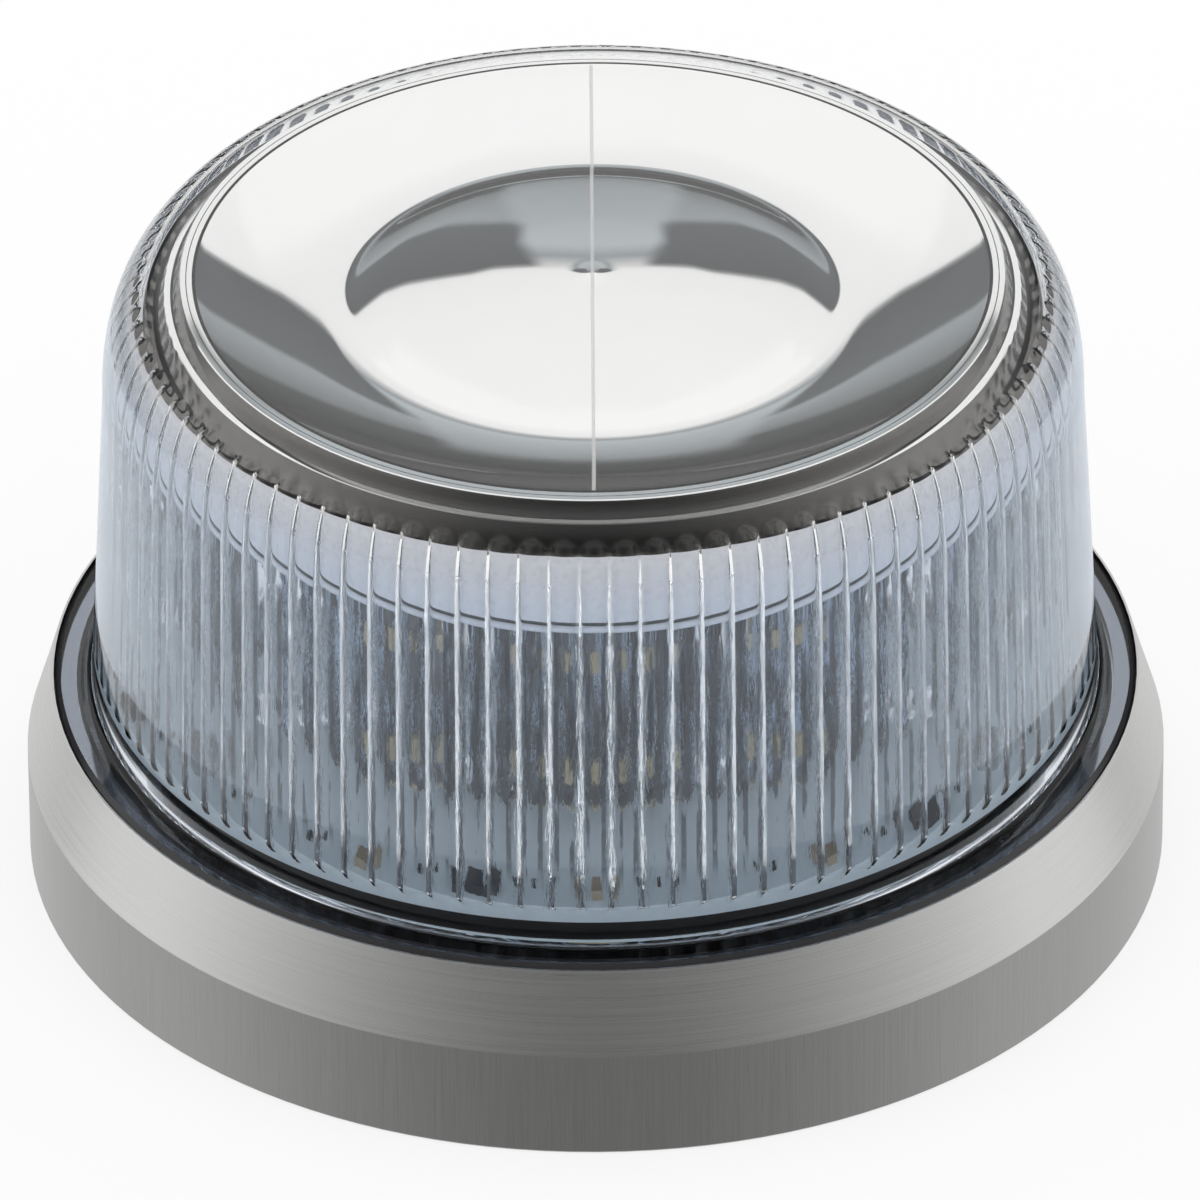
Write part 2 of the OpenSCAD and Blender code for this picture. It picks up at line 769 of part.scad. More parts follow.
base_housing();
foot_seal();
cable_grommet();
vent_plug();
board_carrier();
dome_seal();
dome();
mirror_dish();
dish_screws();
light_column();
column_screws();
light_strips();
light_diodes();
light_bars();
upper_board();
board_screws();
chip_capacitors();
chip_resistors();
driver_chips();
lower_board();
lower_board_screws();
smoothing_capacitors();
coil();
terminal_block();
terminal_screws();
sounder();
board_link();
power_chips();
mode_switch();
mode_slider(0);  // mode_slider_1
mode_slider(1);  // mode_slider_2
mode_slider(2);  // mode_slider_3
mode_slider(3);  // mode_slider_4
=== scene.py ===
"""Looks of a round strobe beacon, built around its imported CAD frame. Metres, +Z up."""

import math

import bpy
from mathutils import Matrix, Vector


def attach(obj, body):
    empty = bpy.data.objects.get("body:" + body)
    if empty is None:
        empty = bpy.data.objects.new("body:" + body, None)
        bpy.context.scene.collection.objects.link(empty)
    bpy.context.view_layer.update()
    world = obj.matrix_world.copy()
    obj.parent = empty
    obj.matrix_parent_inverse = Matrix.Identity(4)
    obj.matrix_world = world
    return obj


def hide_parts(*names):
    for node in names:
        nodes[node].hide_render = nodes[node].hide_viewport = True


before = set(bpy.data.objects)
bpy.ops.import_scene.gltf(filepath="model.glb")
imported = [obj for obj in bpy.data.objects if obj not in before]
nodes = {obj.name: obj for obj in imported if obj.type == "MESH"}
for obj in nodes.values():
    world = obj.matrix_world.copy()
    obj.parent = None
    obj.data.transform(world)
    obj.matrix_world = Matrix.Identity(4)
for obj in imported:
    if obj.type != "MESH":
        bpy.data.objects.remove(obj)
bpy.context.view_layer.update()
MM = 0.001
WHITE = (1, 1, 1, 1)


# Camera: a long lens at the photograph's viewing angle
CAMERA_DISTANCE = 2.5
CAMERA_ELEVATION = math.radians(33.37)
CAMERA_ROLL = math.radians(0.389)
CAMERA_SIDE = 0.74 * MM
CAMERA_TARGET_Z = 38.6 * MM
FOCAL_LENGTH = 535
SENSOR = 36
CLIP_NEAR = 0.05
CLIP_FAR = 20


def make_camera():
    data = bpy.data.cameras.new("camera")
    data.lens = FOCAL_LENGTH
    data.sensor_width = SENSOR
    data.clip_start = CLIP_NEAR
    data.clip_end = CLIP_FAR
    camera = bpy.data.objects.new("camera", data)
    bpy.context.scene.collection.objects.link(camera)
    look = Vector((0, math.cos(CAMERA_ELEVATION), -math.sin(CAMERA_ELEVATION)))
    camera.location = Vector((CAMERA_SIDE, 0, CAMERA_TARGET_Z)) - look * CAMERA_DISTANCE
    turn = look.to_track_quat("-Z", "Y").to_matrix() @ Matrix.Rotation(-CAMERA_ROLL, 3, "Z")
    camera.rotation_mode = "QUATERNION"
    camera.rotation_quaternion = turn.to_quaternion()
    bpy.context.scene.camera = camera


# Node helpers
class Nodes:
    """A node tree with short calls to add and link nodes."""

    def __init__(self, tree):
        self.tree = tree

    def add(self, kind, **values):
        node = self.tree.nodes.new(kind)
        for name, value in values.items():
            setattr(node, name, value)
        return node

    def link(self, source, target):
        self.tree.links.new(source, target)

    def feed(self, socket, value):
        """Link a socket, or set its constant."""
        if isinstance(value, bpy.types.NodeSocket):
            self.link(value, socket)
        else:
            socket.default_value = value

    def math(self, operation, a, b=0.0):
        node = self.add("ShaderNodeMath", operation=operation)
        self.feed(node.inputs[0], a)
        self.feed(node.inputs[1], b)
        return node.outputs[0]

    def product(self, first, *others):
        for other in others:
            first = self.math("MULTIPLY", first, other)
        return first

    def off(self, value, middle):
        """Distance of a value from a middle one."""
        return self.math("ABSOLUTE", self.math("SUBTRACT", value, middle))

    def length(self, x, y):
        squares = self.math("ADD", self.math("POWER", x, 2.0), self.math("POWER", y, 2.0))
        return self.math("SQRT", squares)

    def split(self, vector):
        node = self.add("ShaderNodeSeparateXYZ")
        self.link(vector, node.inputs[0])
        return node.outputs

    def span(self, value, low, high, to_low=0.0, to_high=1.0, smooth=True):
        node = self.add("ShaderNodeMapRange", interpolation_type="SMOOTHSTEP" if smooth else "LINEAR")
        self.feed(node.inputs["Value"], value)
        node.inputs["From Min"].default_value = low
        node.inputs["From Max"].default_value = high
        node.inputs["To Min"].default_value = to_low
        node.inputs["To Max"].default_value = to_high
        return node.outputs[0]

    def fade(self, length, start, end):
        """0 at the start and 1 at the end, both in millimetres."""
        return self.span(length, start * MM, end * MM)

    def mix(self, factor, a, b):
        node = self.add("ShaderNodeMix", data_type="RGBA")
        self.feed(node.inputs["Factor"], factor)
        self.feed(node.inputs[6], a)
        self.feed(node.inputs[7], b)
        return node.outputs[2]

    def mix_values(self, factor, a, b):
        node = self.add("ShaderNodeMix", data_type="FLOAT")
        self.link(factor, node.inputs["Factor"])
        self.link(a, node.inputs[2])
        self.link(b, node.inputs[3])
        return node.outputs[0]

    def ramp(self, value, stops):
        node = self.add("ShaderNodeValToRGB")
        self.feed(node.inputs[0], value)
        elements = node.color_ramp.elements
        while len(elements) < len(stops):
            elements.new(0.5)
        for element, (place, colour) in zip(elements, stops):
            element.position = place
            element.color = colour
        return node.outputs[0]

    def noise(self, vector, scale, detail, roughness=0.5):
        node = self.add("ShaderNodeTexNoise")
        self.link(vector, node.inputs["Vector"])
        node.inputs["Scale"].default_value = scale
        node.inputs["Detail"].default_value = detail
        node.inputs["Roughness"].default_value = roughness
        return node.outputs[0]

    def stretch(self, vector, scale):
        node = self.add("ShaderNodeVectorMath", operation="MULTIPLY")
        self.link(vector, node.inputs[0])
        node.inputs[1].default_value = scale
        return node.outputs[0]

    def bump(self, height, strength, distance):
        node = self.add("ShaderNodeBump")
        self.link(height, node.inputs["Height"])
        node.inputs["Strength"].default_value = strength
        node.inputs["Distance"].default_value = distance
        return node.outputs[0]


def new_material(name):
    material = bpy.data.materials.new(name)
    material.use_nodes = True
    n = Nodes(material.node_tree)
    shader = material.node_tree.nodes["Principled BSDF"]
    return material, n, shader


def object_point(n):
    return n.add("ShaderNodeTexCoord").outputs["Object"]


def round_noise(n, around, up, detail, roughness):
    """Noise with one scale for the direction around the axis and one for the height."""
    x, y, z = n.split(object_point(n))
    angle = n.math("ARCTAN2", y, x)
    place = n.add("ShaderNodeCombineXYZ")
    n.link(n.math("COSINE", angle), place.inputs[0])
    n.link(n.math("SINE", angle), place.inputs[1])
    n.link(z, place.inputs[2])
    return n.noise(n.stretch(place.outputs[0], (around, around, up)), 1.0, detail, roughness)


# World: plain white light; metal and glass see a white tent, dark at the near side and the far horizon
def grey(value):
    return (value, value, value, 1)


def cool(value):
    """A dark grey with a faint blue."""
    return (0.92 * value, value, 1.05 * value, 1)


# Shades of the tent by elevation in degrees, from straight down to straight up
TENT_SIDES = [
    (-90, grey(0.7)), (-33, grey(0.75)), (-12, grey(0.92)), (-4, grey(0.97)), (5, grey(1.0)), (90, grey(1.0)),
]
FAR_HORIZON = [
    (-90, grey(0.7)), (-33, grey(0.8)), (-20, grey(0.86)), (-14, cool(0.05)), (5, cool(0.05)),
    (13, cool(0.10)), (14.4, cool(0.30)), (20.5, cool(0.42)), (21.6, cool(0.13)), (29.8, cool(0.09)),
    (30.6, grey(0.97)), (90, grey(1.0)),
]
FAR_MIDDLE = [
    (-90, grey(0.7)), (-20, grey(0.86)), (-14, cool(0.05)), (8, cool(0.06)), (12, cool(0.46)),
    (26, cool(0.56)), (28, cool(0.34)), (30, grey(0.7)), (31, grey(0.97)), (90, grey(1.0)),
]
FAR_OFF_SURFACES = [
    (-90, grey(0.7)), (-20, grey(0.86)), (-14, grey(0.05)), (13, grey(0.1)), (22, grey(0.9)),
    (42, grey(0.9)), (50, grey(0.2)), (75, grey(0.3)), (85, grey(0.9)), (90, grey(1.0)),
]
FAR_BOUNCED = [
    (-90, grey(0.7)), (-20, grey(0.86)), (-14, grey(0.05)), (70, grey(0.06)), (80, grey(0.9)),
    (90, grey(1.0)),
]
NEAR_IN_METAL = [
    (-90, grey(0.4)), (-33, grey(0.3)), (0, grey(0.17)), (50, grey(0.06)), (68, grey(0.9)), (90, grey(1.0)),
]
NEAR_IN_GLASS = [
    (-90, grey(0.8)), (-20, grey(0.55)), (-4, grey(0.5)), (2, grey(0.08)), (70, grey(0.06)),
    (80, grey(0.9)), (90, grey(1.0)),
]
# Limits of the tent's parts, as shares of the way across (X) and away from the camera (Y)
MIDDLE_EDGE = (0.055, 0.075)
FAR_EDGE = (0.35, 0.65)
BOUNCED_EDGE = (0.75, 0.9)
LEAST_REACH = 0.001
# Limits of counts along a light path: clear faces passed, mirror bounces and diffuse bounces
THROUGH_AND_BACK = 3.5
TO_AND_FRO = 1.5
ONE_DIFFUSE = 0.5


def ramp_place(degrees):
    """Place of an elevation on a ramp that runs from straight down to straight up."""
    return (math.sin(math.radians(degrees)) + 1) / 2


def make_world():
    world = bpy.data.worlds.new("studio")
    bpy.context.scene.world = world
    world.use_nodes = True
    world.node_tree.nodes.clear()
    n = Nodes(world.node_tree)
    x, y, z = n.split(n.add("ShaderNodeTexCoord").outputs["Generated"])
    up = n.span(z, -1, 1, smooth=False)
    reach = n.math("MAXIMUM", n.length(x, y), LEAST_REACH)
    far = n.math("DIVIDE", y, reach)
    across = n.math("ABSOLUTE", n.math("DIVIDE", x, reach))

    def shades(table):
        return n.ramp(up, [(ramp_place(degrees), shade) for degrees, shade in table])

    path = n.add("ShaderNodeLightPath")
    in_glass = path.outputs["Is Transmission Ray"]
    from_inside = n.math("GREATER_THAN", path.outputs["Transmission Depth"], THROUGH_AND_BACK)
    bounced = n.math("GREATER_THAN", path.outputs["Glossy Depth"], TO_AND_FRO)
    lighting = n.math("GREATER_THAN", path.outputs["Diffuse Depth"], ONE_DIFFUSE)

    behind = n.mix(n.span(across, *MIDDLE_EDGE), shades(FAR_MIDDLE), shades(FAR_HORIZON))
    behind = n.mix(from_inside, shades(FAR_OFF_SURFACES), behind)
    behind = n.mix(n.product(bounced, n.span(far, *BOUNCED_EDGE)), behind, shades(FAR_BOUNCED))
    sides = n.mix(in_glass, shades(TENT_SIDES), WHITE)
    ahead = n.mix(in_glass, shades(NEAR_IN_METAL), shades(NEAR_IN_GLASS))
    tent = n.mix(n.span(far, *FAR_EDGE), sides, behind)
    tent = n.mix(n.span(far, 0.0, -1.0, smooth=False), tent, ahead)

    shiny = n.math("MAXIMUM", path.outputs["Is Glossy Ray"], in_glass)
    shiny = n.product(shiny, n.math("SUBTRACT", 1.0, lighting))
    background = n.add("ShaderNodeBackground")
    background.inputs["Strength"].default_value = 1.0
    n.link(n.mix(shiny, WHITE, tent), background.inputs["Color"])
    output = n.add("ShaderNodeOutputWorld")
    n.link(background.outputs[0], output.inputs["Surface"])


# Floor: white, and partly glowing to the camera so that its shadow stays soft
FLOOR_HALF = 6
FLOOR_DROP = 0.05 * MM
FLOOR_GLOW = 0.75


def make_floor():
    mesh = bpy.data.meshes.new("floor")
    corners = [(FLOOR_HALF * x, FLOOR_HALF * y, 0) for x, y in ((-1, -1), (1, -1), (1, 1), (-1, 1))]
    mesh.from_pydata(corners, [], [(0, 1, 2, 3)])
    floor = bpy.data.objects.new("floor", mesh)
    bpy.context.scene.collection.objects.link(floor)
    material, n, shader = new_material("floor_pale")
    shader.inputs["Base Color"].default_value = WHITE
    shader.inputs["Roughness"].default_value = 0.9
    shader.inputs["Specular IOR Level"].default_value = 0.0
    glow = n.add("ShaderNodeEmission")
    seen = n.product(n.add("ShaderNodeLightPath").outputs["Is Camera Ray"], FLOOR_GLOW)
    blend = n.add("ShaderNodeMixShader")
    n.link(seen, blend.inputs[0])
    n.link(shader.outputs[0], blend.inputs[1])
    n.link(glow.outputs[0], blend.inputs[2])
    n.link(blend.outputs[0], material.node_tree.nodes["Material Output"].inputs["Surface"])
    mesh.materials.append(material)
    floor.location.z = -FLOOR_DROP
    floor.visible_glossy = False


# Materials, with lengths in millimetres
BAND_TOP = (16.1, 16.3)
TINT_FADE = (76.0, 88.0)
# Painted highlight: a pale, less metallic line across the mirror; its fade off the middle and its wander, in
# millimetres
PAINTED_HIGHLIGHT_LINE = (0.32, 0.16)
PAINTED_HIGHLIGHT_WANDER = 0.3
# Streaks in the dome: inside this radius, up to this height, with painted dark lines from their foot up
# (painted shade for the dark inside seen through the flutes)
STREAK_R = (66.6, 66.2)
STREAK_TOP = (76.0, 74.0)
PAINTED_LINE_FOOT = (34.0, 40.0)
# Painted dark lines of a flute (painted shade), in shares of its width
PAINTED_LINE_OFF_MIDDLE = 0.26
PAINTED_LINE_HALF = (0.1, 0.06)


def plastic(name, colour, roughness, bump=0.05, metallic=0.0):
    """Moulded plastic, rubber or plated metal with a fine grain in tone, gloss and relief."""
    material, n, shader = new_material(name)
    grain = n.noise(object_point(n), 900, 3)
    dark = tuple(c * 0.94 for c in colour) + (1,)
    pale = tuple(min(1, c * 1.06) for c in colour) + (1,)
    n.link(n.mix(grain, dark, pale), shader.inputs["Base Color"])
    n.link(n.span(grain, 0.3, 0.7, roughness * 0.85, roughness * 1.15), shader.inputs["Roughness"])
    n.link(n.bump(grain, strength=bump, distance=0.1 * MM), shader.inputs["Normal"])
    shader.inputs["Metallic"].default_value = metallic
    return material


def aluminium():
    """Satin aluminium: drawn upright lines on the band, turning lines on the brighter cone; the band's darker
    colour is partly its drawn finish and partly painted shade.
    """
    material, n, shader = new_material("aluminium_satin")
    z = n.split(object_point(n))["Z"]
    drawn = round_noise(n, 420, 60, detail=4, roughness=0.7)
    turned = round_noise(n, 1.5, 4200, detail=4, roughness=0.75)
    cone = n.fade(z, *BAND_TOP)
    lines = n.mix_values(cone, drawn, turned)
    tone = n.span(lines, 0.25, 0.75)
    # the band's darker colour: partly its drawn finish, partly painted shade
    drawn_and_painted_shade = n.mix(tone, (0.37, 0.37, 0.365, 1), (0.43, 0.43, 0.425, 1))
    bright = n.mix(tone, (0.63, 0.63, 0.62, 1), (0.72, 0.72, 0.71, 1))
    n.link(n.mix(cone, drawn_and_painted_shade, bright), shader.inputs["Base Color"])
    n.link(n.span(lines, 0.2, 0.8, 0.24, 0.36), shader.inputs["Roughness"])
    n.link(n.bump(lines, strength=0.12, distance=0.05 * MM), shader.inputs["Normal"])
    shader.inputs["Metallic"].default_value = 1.0
    return material


def clear_plastic(name, tint, roughness, sheen=0.0, streaks=False):
    """Clear moulding, tinted below the dome's shoulder; streaks adds waves and painted dark lines to its
    flutes, painted shade for the dark inside seen through them.
    """
    material, n, shader = new_material(name)
    x, y, z = n.split(object_point(n))
    haze = n.noise(object_point(n), 300, 2)
    n.link(n.span(haze, 0.3, 0.7, roughness * 0.6, roughness * 1.4), shader.inputs["Roughness"])
    colour = n.mix(n.fade(z, *TINT_FADE), tint, (0.99, 0.99, 0.985, 1))
    if streaks:
        fluted = n.product(n.fade(n.length(x, y), *STREAK_R), n.fade(z, *STREAK_TOP))
        waves = round_noise(n, 75, 190, detail=3, roughness=0.6)
        relief = n.product(waves, fluted)
        n.link(n.bump(relief, strength=0.6, distance=0.35 * MM), shader.inputs["Normal"])
        flutes_passed = n.product(n.math("ARCTAN2", y, x), FLUTES / (2 * math.pi))
        off_middle = n.off(n.math("FRACT", flutes_passed), 0.5)
        line = n.span(n.off(off_middle, PAINTED_LINE_OFF_MIDDLE), *PAINTED_LINE_HALF)
        broken = n.span(round_noise(n, 40, 70, detail=3, roughness=0.65), 0.45, 0.53)
        # painted shade: dark lines in the flutes, for the dark inside seen through them
        dark = n.product(line, broken, fluted, n.fade(z, *PAINTED_LINE_FOOT))
        colour = n.mix(dark, colour, (0.06, 0.065, 0.08, 1))
    n.link(colour, shader.inputs["Base Color"])
    shader.inputs["IOR"].default_value = 1.36
    shader.inputs["Transmission Weight"].default_value = 1.0
    shader.inputs["Sheen Weight"].default_value = sheen
    shader.inputs["Sheen Roughness"].default_value = 0.6
    shader.inputs["Sheen Tint"].default_value = (0.8, 0.89, 1, 1)
    return material


def traced_strip():
    """Light strip: pale blue board with dark broken traces."""
    material, n, shader = new_material("strip_traces")
    traces = round_noise(n, 18, 25, detail=3, roughness=0.7)
    colour = n.mix(n.span(traces, 0.52, 0.59), (0.008, 0.008, 0.01, 1), (0.64, 0.80, 1.0, 1))
    n.link(colour, shader.inputs["Base Color"])
    n.link(n.span(traces, 0.3, 0.7, 0.3, 0.4), shader.inputs["Roughness"])
    return material


def mirror():
    """Metalised plastic with a fine haze and a painted highlight: a pale, less metallic line straight across
    the dish.
    """
    material, n, shader = new_material("metalised_mirror")
    x, y = n.split(object_point(n))[:2]
    haze = n.noise(object_point(n), 60, 3)
    wander = n.product(n.math("SUBTRACT", haze, 0.5), PAINTED_HIGHLIGHT_WANDER * MM)
    off_line = n.math("ABSOLUTE", n.math("ADD", x, wander))
    on_dish = n.fade(n.length(x, y), DISH_R, DISH_R - 0.5)
    # painted highlight: a pale, less metallic line straight across the dish
    line = n.product(n.fade(off_line, *PAINTED_HIGHLIGHT_LINE), on_dish)
    silver = n.mix(haze, (0.93, 0.935, 0.935, 1), (0.97, 0.972, 0.97, 1))
    n.link(n.mix(line, silver, (0.9, 0.9, 0.89, 1)), shader.inputs["Base Color"])
    n.link(n.span(haze, 0.3, 0.7, 0.006, 0.014), shader.inputs["Roughness"])
    n.link(n.span(line, 0.0, 1.0, 1.0, 0.25, smooth=False), shader.inputs["Metallic"])
    return material


# Meshes of revolution, from profiles of (radius, height) in millimetres
def make_piece(name, vertices, faces, materials, face_slots, sharp):
    mesh = bpy.data.meshes.new(name)
    mesh.from_pydata(vertices, [], faces)
    for material in materials:
        mesh.materials.append(material)
    mesh.polygons.foreach_set("material_index", face_slots)
    mesh.polygons.foreach_set("use_smooth", [True] * len(mesh.polygons))
    mesh.validate()
    mesh.set_sharp_from_angle(angle=math.radians(sharp))
    piece = bpy.data.objects.new(name, mesh)
    bpy.context.scene.collection.objects.link(piece)
    return piece


def runs_backwards(profile):
    """Whether a profile runs round its section clockwise."""
    following = profile[1:] + profile[:1]
    return sum(a[0] * b[1] - b[0] * a[1] for a, b in zip(profile, following)) < 0


def revolve(name, profile, slots, steps, materials, sharp, radius=None):
    """Closed solid from a profile round its section, with a material slot for each of its points."""
    vertices = []
    rings = []
    for k, (r, z) in enumerate(profile):
        if r == 0:
            rings.append([len(vertices)] * steps)
            vertices.append((0, 0, z * MM))
            continue
        ring = []
        for i in range(steps):
            a = 2 * math.pi * i / steps
            reach = radius(k, r, z, a) if radius else r
            ring.append(len(vertices))
            vertices.append((reach * math.cos(a) * MM, reach * math.sin(a) * MM, z * MM))
        rings.append(ring)
    faces = []
    face_slots = []
    backwards = runs_backwards(profile)
    for low, high, slot in zip(rings, rings[1:] + rings[:1], slots):
        if low[0] == low[1] and high[0] == high[1]:
            continue
        for i in range(steps):
            j = (i + 1) % steps
            face = [high[i], high[j], low[j], low[i]] if backwards else [low[i], low[j], high[j], high[i]]
            faces.append([v for p, v in enumerate(face) if v not in face[:p]])
            face_slots.append(slot)
    return make_piece(name, vertices, faces, materials, face_slots, sharp)


def arc(centre, reach, start, end, steps):
    """Points of a circle's arc between two angles in degrees."""
    points = []
    for i in range(steps + 1):
        a = math.radians(start + (end - start) * i / steps)
        points.append((centre[0] + reach * math.cos(a), centre[1] + reach * math.sin(a)))
    return points


def shoulder(centre, w, h, steps):
    """Points of a rounded shoulder from its side up to its top."""
    points = []
    for i in range(steps + 1):
        u = math.pi / 2 * i / steps
        points.append((centre[0] + w * max(0, math.cos(u)) ** (2 / SHOULDER_POWER),
                       centre[1] + h * math.sin(u) ** (2 / SHOULDER_POWER)))
    return points


def straight(start, end, steps):
    """Points of a straight line after its start, up to its end."""
    (r0, z0), (r1, z1) = start, end
    return [(r0 + (r1 - r0) * i / steps, z0 + (z1 - z0) * i / steps) for i in range(1, steps + 1)]


def placed(points, r, z):
    return [(r + outward, z + up) for outward, up in points]


# Dome
FLUTES = 96
FLUTE_DEPTH = 1.0
FLUTE_STEPS = 12
FLUTE_SHARE = 0.97
FLUTE_HIGH = 87.4
FLUTE_LEAST_R = 50.0
CREST_R = 64.6
FOOT_R = 70.6
FOOT_ROUND = 1.4
FOOT_FLOOR = 27.0
SIDE_R = 68.3
FLANGE_R = 75.9
FLANGE_TOP = 28.4
FLANGE_LOW = 26.15
FLANGE_BEVEL = 0.8
SHOULDER_Z = 74.0
SHOULDER_W = 14.3
SHOULDER_POWER = 2.4
DOME_TOP = 94.0
TOP_T = 1.7
INNER_SHOULDER_W = 8.9
INNER_SHOULDER_H = 11.7
BORE_LOW = 30.0
BORE_STEP_H = 1.5
WIDE_R = 66.5
WALL_TOP = 84.0
WALL_LOW = 36.0
SKIRT_OUT = 72.2
SKIRT_IN = 69.5
SKIRT_LOW = 15.0
DOME_SHARP = 28
DOME_TINT = (0.9, 0.945, 1, 1)
DOME_ROUGHNESS = 0.012
WALL_SHEEN = 0.65


def dome_profile():
    """The dome's section, and the number of its points that are outside."""
    outside = [(SKIRT_IN, SKIRT_LOW), (SKIRT_OUT, SKIRT_LOW), (SKIRT_OUT, FLANGE_LOW), (FLANGE_R, FLANGE_LOW)]
    outside += [(FLANGE_R, FLANGE_TOP - FLANGE_BEVEL), (FLANGE_R - FLANGE_BEVEL, FLANGE_TOP)]
    foot_top = FLANGE_TOP + FOOT_ROUND
    outside += arc((FOOT_R + FOOT_ROUND, foot_top), FOOT_ROUND, 270, 180, 6)
    outside += straight((FOOT_R, foot_top), (SIDE_R, SHOULDER_Z), 4)[:-1]
    outside += shoulder((SIDE_R - SHOULDER_W, SHOULDER_Z), SHOULDER_W, DOME_TOP - SHOULDER_Z, 40)
    inner_top = DOME_TOP - TOP_T
    crest_top = inner_top - INNER_SHOULDER_H
    bore_top = BORE_LOW + BORE_STEP_H
    inside = [(0, DOME_TOP), (0, inner_top)]
    inside += shoulder((CREST_R - INNER_SHOULDER_W, crest_top), INNER_SHOULDER_W, INNER_SHOULDER_H, 48)[::-1]
    inside += straight((CREST_R, crest_top), (CREST_R, bore_top), 8)
    inside += straight((CREST_R, bore_top), (WIDE_R, BORE_LOW), 10)
    inside += [(WIDE_R, FOOT_FLOOR), (SKIRT_IN, FOOT_FLOOR)]
    return outside + inside, len(outside)


def make_dome():
    profile, first_inside = dome_profile()
    pitch = 2 * math.pi / FLUTES
    half = CREST_R * math.sin(pitch / 2) * FLUTE_SHARE
    ball = (half ** 2 + FLUTE_DEPTH ** 2) / (2 * FLUTE_DEPTH)

    def radius(k, r, z, a):
        """Radius of a point with the ball-nosed flutes cut into the dome's inside."""
        if k < first_inside or r < FLUTE_LEAST_R or z < BORE_LOW:
            return r
        across = ((a / pitch + 0.5) % 1 - 0.5) * pitch * r
        past = max(0.0, z - FLUTE_HIGH)
        left = ball ** 2 - across ** 2 - past ** 2
        groove = max(0.0, math.sqrt(max(0.0, left)) - (ball - FLUTE_DEPTH))
        return max(r, min(r, CREST_R) + groove)

    lens = clear_plastic("clear_dome", DOME_TINT, DOME_ROUGHNESS)
    wall = clear_plastic("clear_wall", DOME_TINT, DOME_ROUGHNESS, sheen=WALL_SHEEN, streaks=True)
    edge = plastic("flange_edge", (0.02, 0.02, 0.022), 0.12, bump=0.01)
    finishes = [lens, wall, edge]
    slots = [1 if WALL_LOW < z < WALL_TOP else 0 for r, z in profile]
    edge_at = profile.index((FLANGE_R, FLANGE_LOW))
    slots[edge_at:edge_at + 2] = [2, 2]
    dome = revolve("dome_lens", profile, slots, FLUTES * FLUTE_STEPS, finishes, DOME_SHARP, radius)
    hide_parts("dome")
    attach(dome, "dome")


# Mirrored dish
DISH_R = 55.0
RIM_W = 2.0
RIM_R = DISH_R + RIM_W
RIM_Z = 92.1
DISH_SKIRT_R = 63.6
DISH_SKIRT_LOW = 75.4
DISH_T = 1.8
DISH_STEPS = 240
DISH_SHARP = 20
FACE_STEPS = 160
BACK_SKIP = 8
BEAD_R = 1.4
BEAD_DROP = 6.6
LIP_R = 0.5
LIP_OUT = 0.25
# Slope of the mirror at growing radii: a small tip, a pillow, a ring valley and the outer wall
DISH_SLOPES = [
    (0, -0.20), (2, -0.08), (4, -0.035), (9, -0.06), (14, -0.08), (17, -0.11), (26, -0.145), (29, -0.18),
    (33.5, -0.32), (35, 0.0), (38, 0.10), (43, 0.20), (50, 0.29), (DISH_R, 0.35),
]
# Slots of the dish's finishes: mirror, shadow line, a pale finish that is painted light, and a dark one that
# is painted shade
MIRROR, SHADOW, PAINTED_PALE, PAINTED_DARK = range(4)
# Section from the mirror's edge to the bead, as (outward, up) from the rim's outer edge
RIM_SECTION = [
    (SHADOW, [(-RIM_W, 0.0), (-1.95, -0.5), (-1.6, -0.5)]),
    (MIRROR, [(-1.55, 0.0)]),
    (SHADOW, [(-0.835, 0.0), (-0.815, -0.2), (-0.735, -0.2)]),
    (MIRROR, [(-0.715, 0.0), (0.0, 0.0)]),
    (PAINTED_DARK, [(0.15, -0.1), (0.425, -0.59375), (0.7, -1.125), (0.975, -1.69375)]),
    (MIRROR, [(1.25, -2.3), (2.1, -2.36)]),
    (PAINTED_DARK, [(2.2, -2.5), (4.1, -5.8)]),
    (SHADOW, [(5.6, -5.9)]),
]
# Notch above the skirt's lip, as (outward, up) from the skirt's foot
NOTCH = [(0.0, 1.6), (-0.4, 1.5), (-0.4, 1.0)]
# Inner side between skirt and mirror, as (outward, up) from the rim's outer edge
UNDER_RIM = [(1.2, -6.0), (-1.2, -2.4)]
INNER_SKIRT_DROP = 9.0


def dish_slope(r):
    for (r0, s0), (r1, s1) in zip(DISH_SLOPES, DISH_SLOPES[1:]):
        if r <= r1:
            t = (r - r0) / (r1 - r0)
            return s0 + (s1 - s0) * t
    return DISH_SLOPES[-1][1]


def dish_face():
    """Points of the mirror from its middle to its rim."""
    step = DISH_R / FACE_STEPS
    heights = [0.0]
    for i in range(FACE_STEPS):
        heights.append(heights[-1] + step * (dish_slope(i * step) + dish_slope((i + 1) * step)) / 2)
    return [(i * step, RIM_Z + h - heights[-1]) for i, h in enumerate(heights)]


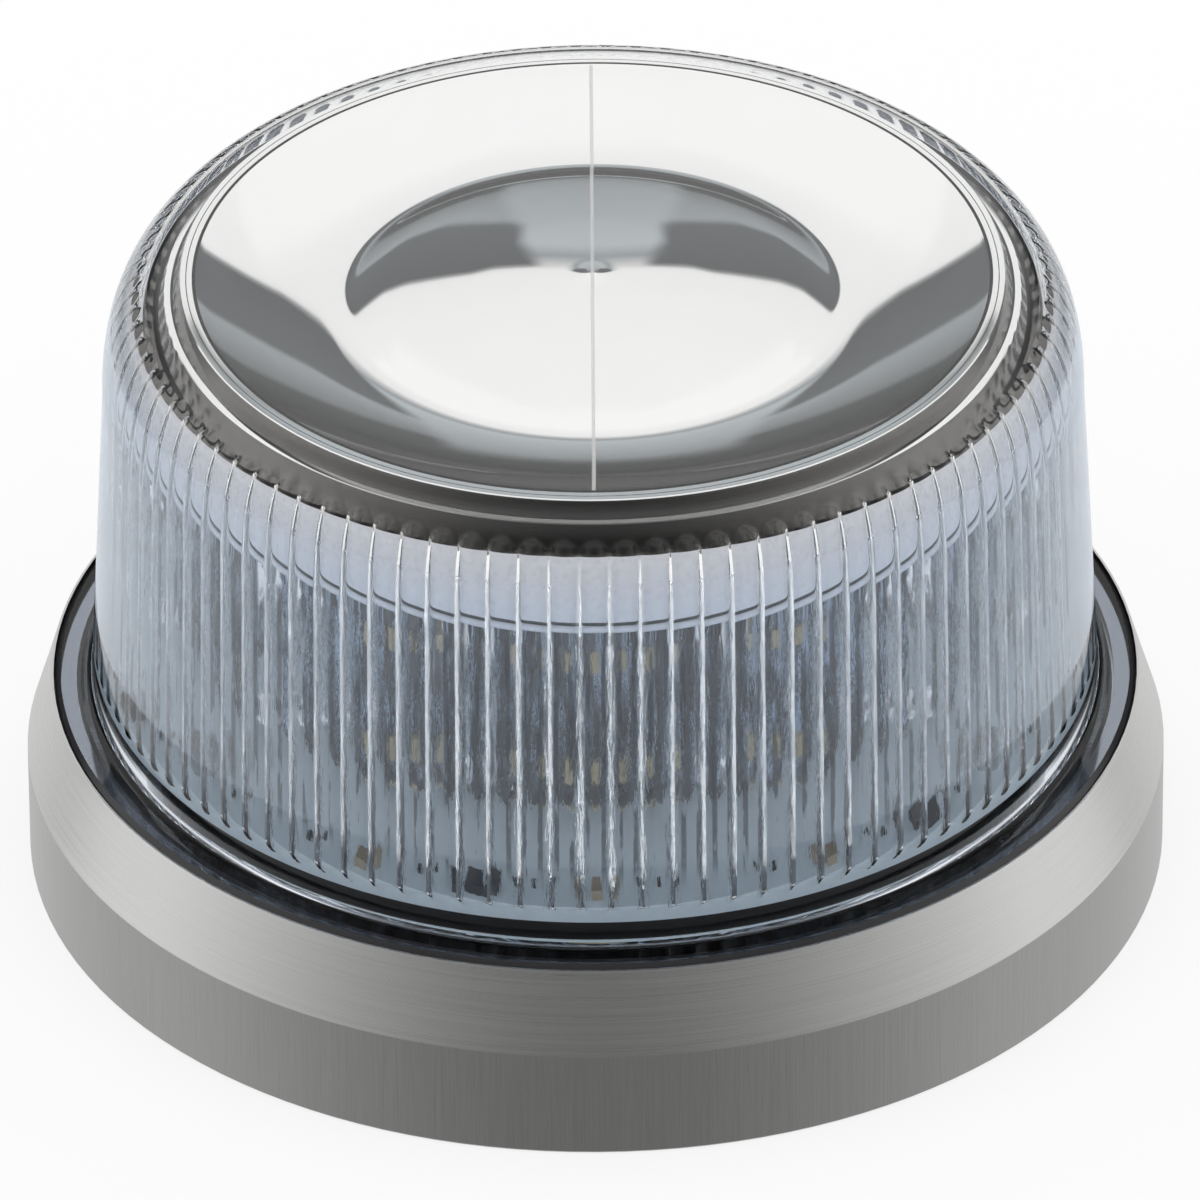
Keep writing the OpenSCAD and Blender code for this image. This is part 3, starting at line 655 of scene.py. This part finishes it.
def make_dish():
    face = dish_face()
    inner_r = DISH_SKIRT_R - DISH_T
    lip_centre = (DISH_SKIRT_R + LIP_OUT - LIP_R, DISH_SKIRT_LOW + LIP_R)
    inner_side = [(inner_r, DISH_SKIRT_LOW), (inner_r, RIM_Z - INNER_SKIRT_DROP)]
    sections = [(MIRROR, face[:-1])]
    sections += [(finish, placed(points, RIM_R, RIM_Z)) for finish, points in RIM_SECTION]
    sections += [
        (PAINTED_PALE, arc((DISH_SKIRT_R - BEAD_R, RIM_Z - BEAD_DROP), BEAD_R, 70, 0, 10)),
        (SHADOW, placed(NOTCH, DISH_SKIRT_R, DISH_SKIRT_LOW)),
        (PAINTED_PALE, arc(lip_centre, LIP_R, 80, -90, 10)),
        (MIRROR, inner_side + placed(UNDER_RIM, RIM_R, RIM_Z)),
        (MIRROR, [(r, z - DISH_T) for r, z in face[::-BACK_SKIP]]),
    ]
    profile = [point for finish, points in sections for point in points]
    slots = [finish for finish, points in sections for point in points]
    finishes = [
        mirror(),
        plastic("rim_shadow_line", (0.01, 0.01, 0.012), 0.6),
        # painted light: a pale diffuse colour on the skirt, bead and lip, which sit in shade under the rim
        plastic("skirt_painted_light", (0.80, 0.83, 0.90), 0.3),
        # painted shade: a dark metal on the ring and the slope outside the rim, which keeps them dark
        # whatever they reflect
        plastic("ring_painted_dark", (0.17, 0.165, 0.16), 0.08, bump=0.01, metallic=1.0),
    ]
    dish = revolve("reflector_dish", profile, slots, DISH_STEPS, finishes, DISH_SHARP)
    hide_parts("mirror_dish")
    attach(dish, "base")


# Finishes of the CAD nodes
def paint(name, material):
    mesh = nodes[name].data
    mesh.materials.clear()
    mesh.materials.append(material)


def paint_nodes():
    steel = plastic("screw_steel", (0.60, 0.60, 0.60), 0.3, metallic=1.0)
    chip = plastic("chip_black", (0.035, 0.035, 0.04), 0.45)
    black = plastic("plastic_black", (0.03, 0.03, 0.032), 0.5)
    white = plastic("plastic_white", (0.85, 0.85, 0.83), 0.35)
    finishes = {
        "base_housing": aluminium(),
        "foot_seal": plastic("rubber_black", (0.018, 0.018, 0.02), 0.4, bump=0.02),
        "cable_grommet": plastic("rubber_grey", (0.12, 0.12, 0.13), 0.6),
        "vent_plug": black,
        "board_carrier": black,
        "dome_seal": plastic("seal_glossy", (0.30, 0.305, 0.325), 0.1, bump=0.01, metallic=1.0),
        "dish_screws": steel,
        "light_column": plastic("column_dark", (0.05, 0.05, 0.055), 0.4),
        "column_screws": steel,
        "light_strips": traced_strip(),
        "light_diodes": plastic("diode", (0.72, 0.58, 0.30), 0.35),
        "light_bars": clear_plastic("clear_bar", (0.95, 0.96, 0.98, 1), 0.03),
        "upper_board": plastic("board_pale", (0.83, 0.93, 1.0), 0.4),
        "board_screws": steel,
        "chip_capacitors": plastic("ceramic_tan", (0.42, 0.34, 0.24), 0.45),
        "chip_resistors": chip,
        "driver_chips": chip,
        "lower_board": plastic("board_green", (0.05, 0.24, 0.12), 0.4),
        "lower_board_screws": steel,
        "smoothing_capacitors": plastic("capacitor_sleeve", (0.05, 0.07, 0.2), 0.3),
        "coil": plastic("coil_copper", (0.55, 0.28, 0.14), 0.35, metallic=1.0),
        "terminal_block": plastic("plastic_green", (0.1, 0.4, 0.16), 0.45),
        "terminal_screws": steel,
        "sounder": black,
        "board_link": plastic("plastic_ivory", (0.8, 0.77, 0.68), 0.45),
        "power_chips": chip,
        "mode_switch": plastic("plastic_red", (0.5, 0.06, 0.05), 0.4),
    }
    for name, material in finishes.items():
        paint(name, material)
    for name in nodes:
        if name.startswith("mode_slider"):
            paint(name, white)


bpy.context.scene.view_settings.view_transform = "Standard"
make_camera()
make_world()
make_floor()
make_dome()
make_dish()
paint_nodes()
